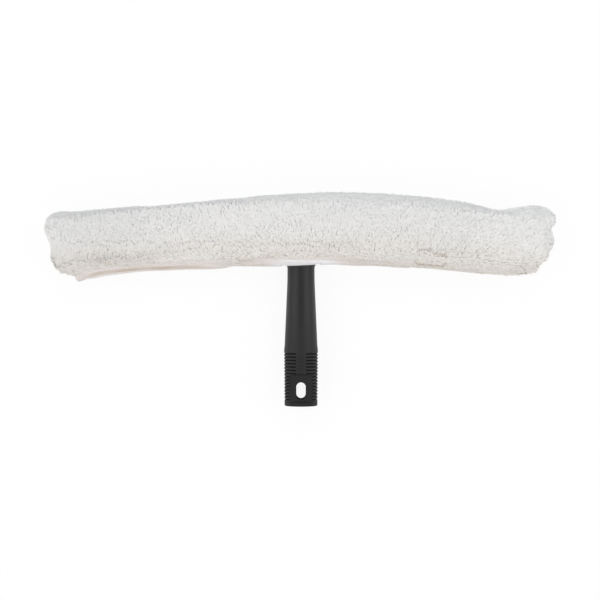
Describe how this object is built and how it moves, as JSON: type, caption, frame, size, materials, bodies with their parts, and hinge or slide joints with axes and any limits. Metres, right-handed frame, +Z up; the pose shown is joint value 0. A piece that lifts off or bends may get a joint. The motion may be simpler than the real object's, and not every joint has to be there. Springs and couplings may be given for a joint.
{
  "type": "window scrubber",
  "caption": "Window scrubber: a bowed washer sleeve of cut pile, closed with a flap, on a T bar whose ribbed hollow grip takes a pole and has a hanging slot.",
  "frame": {"origin": "centre of the bounding box on the table that the scrubber lies on, sleeve flat on its back", "axes": "+X along the bar, +Y away from the grip's open end, +Z up off the table towards the front of the sleeve"},
  "size_m": [0.4618, 0.191, 0.0372],
  "materials": {
    "grip_plastic": "moulded black polypropylene with a fine satin grain",
    "bar_plastic": "moulded black polypropylene",
    "screw_steel": "plated steel",
    "pile": "dense white cut pile",
    "woven": "smooth white woven polyester with a slight sheen",
    "tape": "white hook and loop tape",
    "thread": "off-white polyester thread"
  },
  "bodies": {
    "scrubber": {"handle": "grip_plastic", "crossbar": "bar_plastic", "end_cap_left": "bar_plastic", "end_cap_right": "bar_plastic", "saddle_screws": "screw_steel", "sleeve_body": "pile", "end_seam_left": "woven", "end_seam_right": "woven", "closing_strip": "woven", "hook_tape_left": "tape", "hook_tape_right": "tape", "slot_bar_tacks": "thread"},
    "flap": {"closure_flap": "pile", "flap_band": "woven", "band_stitching": "thread", "loop_tape_left": "tape", "loop_tape_right": "tape", "corner_tip": "woven"}
  },
  "joints": [
    {"name": "flap_fold", "type": "hinge", "parent": "scrubber", "child": "flap", "pos_m": [0, 0.04465, 0.03725], "axis": [-1, 0, 0], "range_deg": [0, 110]}
  ]
}
